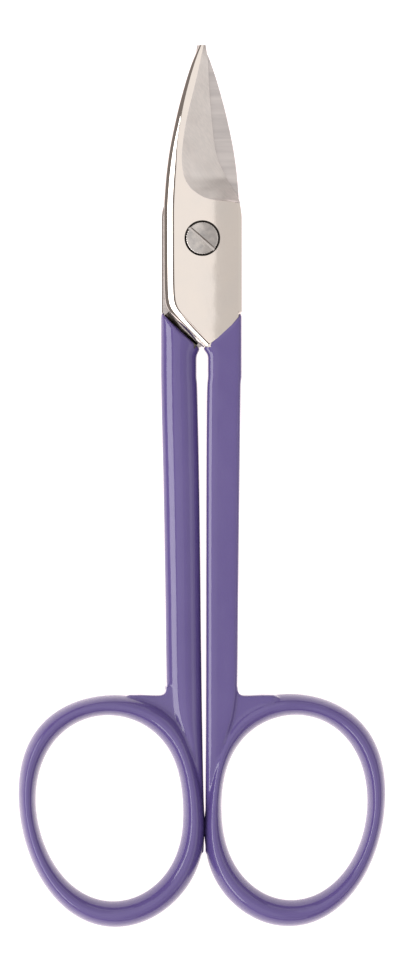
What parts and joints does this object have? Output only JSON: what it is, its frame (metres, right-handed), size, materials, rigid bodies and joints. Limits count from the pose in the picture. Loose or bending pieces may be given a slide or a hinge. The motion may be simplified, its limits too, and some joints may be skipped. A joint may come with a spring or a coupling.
{
  "type": "nail scissors",
  "caption": "Slim straight scissors: two steel blades on a slotted pivot screw, with long coated shanks that end in oval finger rings.",
  "frame": {"origin": "pivot axis at the outer face of the rear half", "axes": "+Y from the pivot to the blade tips, +Z along the pivot axis towards the screw head, +X towards the front half's finger ring"},
  "size_m": [0.0444, 0.105, 0.0047],
  "materials": {
    "steel": "polished, satin ground blade faces",
    "screw_steel": "polished crown, knurled rim",
    "coating": "glossy dipped coating"
  },
  "bodies": {
    "rear": {"rear_half": "steel", "rear_handle_coating": "coating", "pivot_screw": "screw_steel"},
    "front": {"front_half": "steel", "front_handle_coating": "coating"}
  },
  "joints": [
    {"name": "pivot", "type": "hinge", "parent": "rear", "child": "front", "pos_m": [0, 0, 0.00228], "axis": [0, 0, 1], "range_deg": [0, 75]}
  ]
}
